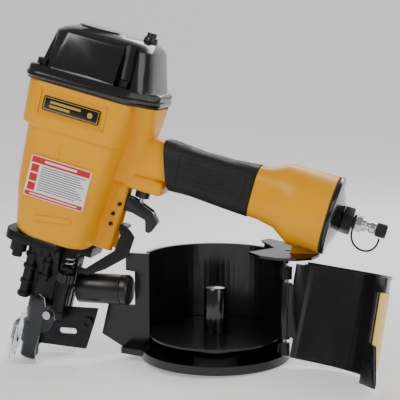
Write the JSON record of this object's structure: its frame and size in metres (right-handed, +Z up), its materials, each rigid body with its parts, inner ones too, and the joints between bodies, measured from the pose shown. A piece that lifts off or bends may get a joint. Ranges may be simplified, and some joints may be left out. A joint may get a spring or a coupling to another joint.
{
  "type": "pneumatic coil nailer",
  "caption": "Angled air-powered coil nailer with a rubber grip, spring-loaded contact tip and a round open magazine whose curved door is swung out.",
  "frame": {"origin": "centre of the bounding box's bottom face, on the plane the tool stands on", "axes": "+Z up, +X from the nose towards the air inlet, -Y towards the side the magazine opens on"},
  "size_m": [0.3788, 0.2184, 0.3227],
  "materials": {
    "yellow_casting": "gloss yellow paint over cast aluminium",
    "cap_black": "gloss black",
    "rubber_black": "matte black rubber",
    "gasket": "matte fibre gasket",
    "steel_black": "black phosphate",
    "steel_bright": "bright",
    "aluminium": "machined",
    "chrome": "polished",
    "plastic_black": "moulded satin",
    "plastic_gloss": "gloss black",
    "nylon_grey": "matte nylon",
    "clear_plastic": "clear polycarbonate",
    "label_white": "printed film",
    "label_yellow": "printed film"
  },
  "bodies": {
    "tool": {"air_plug": "chrome", "body_casting": "yellow_casting", "bumper": "rubber_black", "cap_screw_1": "steel_black", "cap_screw_2": "steel_black", "cap_screw_3": "steel_black", "cap_screw_4": "steel_black", "cylinder_cap": "cap_black", "cylinder_sleeve": "aluminium", "dust_cap": "rubber_black", "dust_cap_tether": "rubber_black", "end_cap": "cap_black", "end_cap_gasket": "gasket", "feed_cylinder": "plastic_black", "feed_cylinder_cap": "plastic_black", "feed_guide": "steel_black", "feed_guide_screw": "steel_black", "grip_sleeve": "rubber_black", "guide_pin_lower": "steel_black", "guide_pin_upper": "steel_black", "head_gasket": "gasket", "hex_bushing": "steel_black", "hinge_pin": "steel_bright", "leg_screw": "steel_black", "magazine_housing": "plastic_black", "name_plate": "plastic_gloss", "nose_body": "steel_black", "nose_screw_1": "steel_black", "nose_screw_2": "steel_black", "nose_screw_3": "steel_black", "nose_screw_4": "steel_black", "trigger_pin": "steel_black", "trigger_valve_body": "plastic_black", "warning_label": "label_white"},
    "piston": {"piston": "aluminium", "piston_ring": "rubber_black", "driver_blade": "steel_bright"},
    "head_valve": {"head_valve": "plastic_black", "head_valve_spring": "steel_bright"},
    "exhaust_cover": {"exhaust_cover": "plastic_black"},
    "trigger": {"trigger_lever": "plastic_black"},
    "contact_lever": {"contact_lever": "steel_bright"},
    "valve_stem": {"valve_stem": "steel_bright"},
    "contact_arm": {"contact_tip": "steel_black", "contact_arm": "steel_black", "contact_link": "steel_black", "arm_spring": "steel_bright", "chip_shield": "clear_plastic", "shield_screw": "steel_bright"},
    "depth_wheel": {"depth_wheel": "plastic_black"},
    "feed_piston": {"feed_piston": "steel_bright", "feed_spring": "steel_bright"},
    "feed_pawl": {"feed_pawl": "steel_bright"},
    "tray_post": {"tray_post": "plastic_gloss", "tray_collar": "nylon_grey"},
    "nail_tray": {"nail_tray": "plastic_black"},
    "magazine_door": {"magazine_door": "plastic_black", "door_sticker": "label_yellow"},
    "door_latch": {"door_latch": "plastic_black"}
  },
  "joints": [
    {"name": "piston_slide", "type": "slide", "parent": "tool", "child": "piston", "axis": [0.3024, 0, 0.9532], "range_m": [-0.079, 0]},
    {"name": "head_valve_slide", "type": "slide", "parent": "tool", "child": "head_valve", "axis": [0.3024, 0, 0.9532], "range_m": [0, 0.005], "stiffness_N_per_m": 800, "springref_m": -0.003, "deforming": ["head_valve_spring"]},
    {"name": "exhaust_cover_turn", "type": "hinge", "parent": "tool", "child": "exhaust_cover", "pos_m": [-0.03026, 0.02272, 0.30318], "axis": [0.3024, 0, 0.9532], "continuous": true},
    {"name": "trigger_pull", "type": "hinge", "parent": "tool", "child": "trigger", "pos_m": [-0.06554, 0.02272, 0.15228], "axis": [0, -1, 0], "range_deg": [0, 8], "stiffness_Nm_per_rad": 0.5, "springref_deg": -6.88},
    {"name": "contact_lever_pivot", "type": "hinge", "parent": "trigger", "child": "contact_lever", "pos_m": [-0.05852, 0.02272, 0.14796], "axis": [0, -1, 0], "range_deg": [0, 5], "stiffness_Nm_per_rad": 0.02, "springref_deg": -5.73},
    {"name": "valve_stem_slide", "type": "slide", "parent": "tool", "child": "valve_stem", "axis": [0.3024, 0, 0.9532], "range_m": [0, 0.0024]},
    {"name": "contact_arm_slide", "type": "slide", "parent": "tool", "child": "contact_arm", "axis": [0.3024, 0, 0.9532], "range_m": [0, 0.008], "stiffness_N_per_m": 600, "springref_m": -0.006},
    {"name": "depth_wheel_turn", "type": "hinge", "parent": "contact_arm", "child": "depth_wheel", "pos_m": [-0.11973, 0.00172, 0.08397], "axis": [0.3024, 0, 0.9532], "continuous": true},
    {"name": "feed_piston_slide", "type": "slide", "parent": "tool", "child": "feed_piston", "axis": [0.999, 0, -0.0454], "range_m": [0, 0.012], "stiffness_N_per_m": 400, "springref_m": -0.004, "deforming": ["feed_spring"]},
    {"name": "feed_pawl_pivot", "type": "hinge", "parent": "feed_piston", "child": "feed_pawl", "pos_m": [-0.13058, 0.02272, 0.07088], "axis": [0, -1, 0], "range_deg": [0, 12], "stiffness_Nm_per_rad": 0.02, "springref_deg": -5.73},
    {"name": "tray_height_slide", "type": "slide", "parent": "tool", "child": "tray_post", "axis": [0.0454, 0, 0.999], "range_m": [0, 0.01]},
    {"name": "nail_tray_spin", "type": "hinge", "parent": "tray_post", "child": "nail_tray", "pos_m": [0.01521, 0.03772, 0.02322], "axis": [0.0454, 0, 0.999], "continuous": true},
    {"name": "magazine_door_hinge", "type": "hinge", "parent": "tool", "child": "magazine_door", "pos_m": [0.08473, 0.01372, 0.00004], "axis": [0.0449, 0.1374, 0.9895], "range_deg": [-120.5, 0]},
    {"name": "door_latch_turn", "type": "hinge", "parent": "magazine_door", "child": "door_latch", "pos_m": [0.16753, -0.00845, 0.04263], "axis": [0.8055, 0.5374, -0.2498], "range_deg": [0, 90]}
  ],
  "couplings": [
    {"joint": "valve_stem_slide", "follows": "trigger_pull", "m_per_rad": 0.0165}
  ]
}
